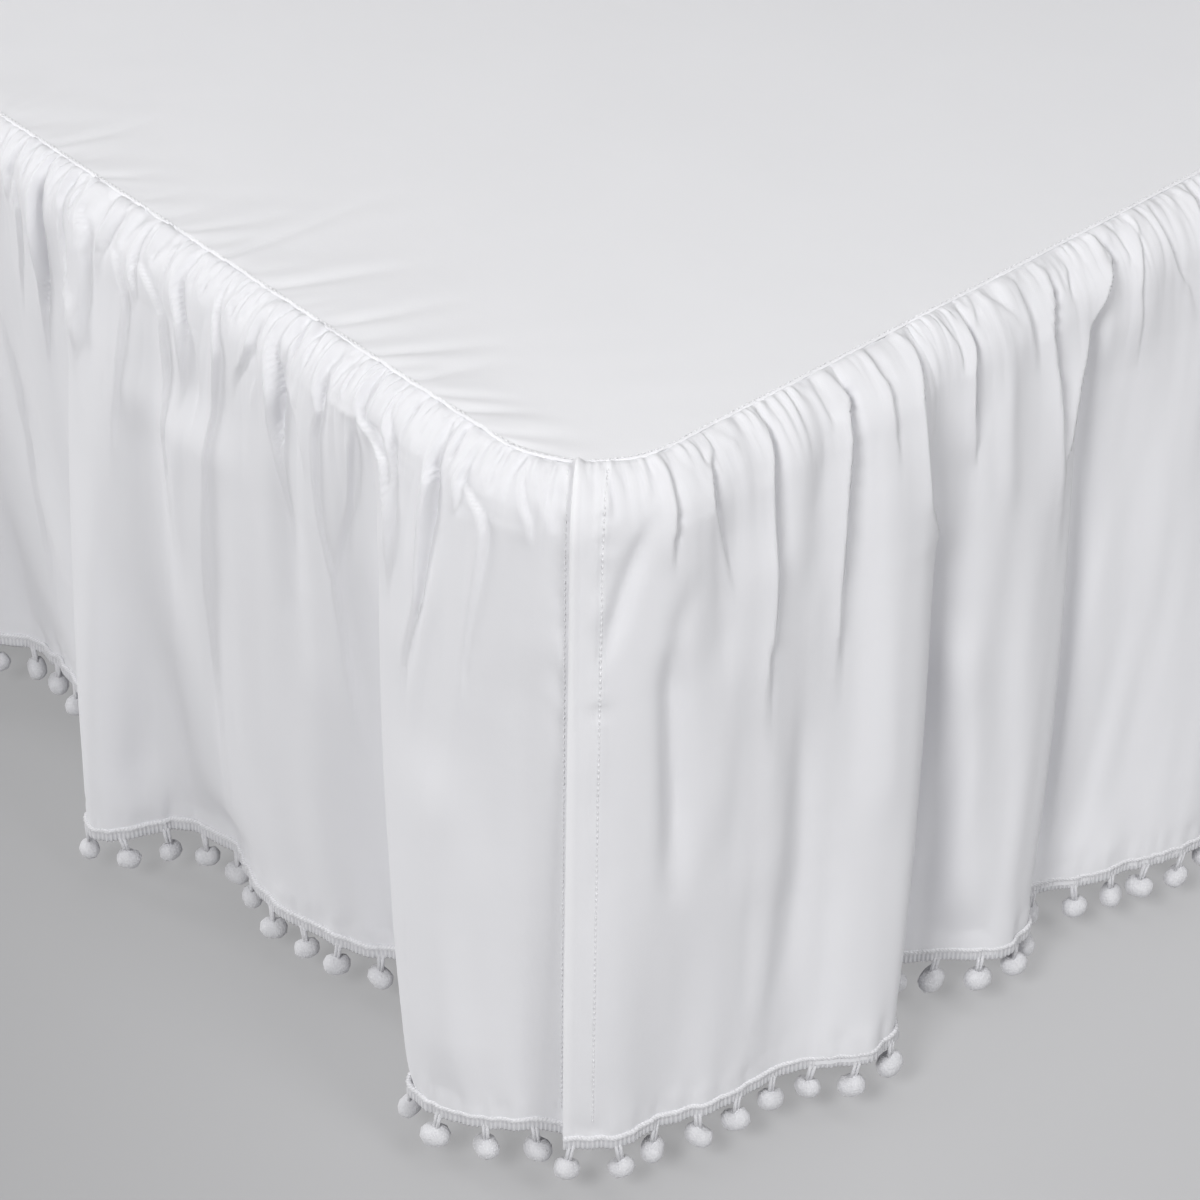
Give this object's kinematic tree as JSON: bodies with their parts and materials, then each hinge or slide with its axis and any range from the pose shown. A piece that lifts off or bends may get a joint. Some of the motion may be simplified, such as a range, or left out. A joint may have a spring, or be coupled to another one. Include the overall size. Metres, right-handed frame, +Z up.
{
  "type": "bed skirt on a bed base",
  "caption": "White gathered bed skirt with split corners and a pompom-trimmed hem, falling in soft uneven folds from the top of a plain upholstered twin bed base on short legs.",
  "frame": {"origin": "on the floor, at the middle of the bounding box's bottom face", "axes": "+Z up, +Y along the bed towards its open head end, -Y the skirted foot end, +X the bed's right-hand side seen from the foot"},
  "size_m": [1.1668, 1.9882, 0.3984],
  "materials": {
    "cotton": "soft matt plain weave",
    "trim": "matt braid and tufted pompoms",
    "base_cloth": "matt plain base cloth",
    "leg_wood": "satin stained wood"
  },
  "bodies": {
    "root": {"platform_cloth": "cotton", "skirt_right": "cotton", "skirt_foot": "cotton", "skirt_left": "cotton", "trim_right": "trim", "trim_foot": "trim", "trim_left": "trim", "bed_base": "base_cloth", "bed_leg_1": "leg_wood", "bed_leg_2": "leg_wood", "bed_leg_3": "leg_wood", "bed_leg_4": "leg_wood", "bed_leg_5": "leg_wood", "bed_leg_6": "leg_wood"}
  },
  "joints": []
}
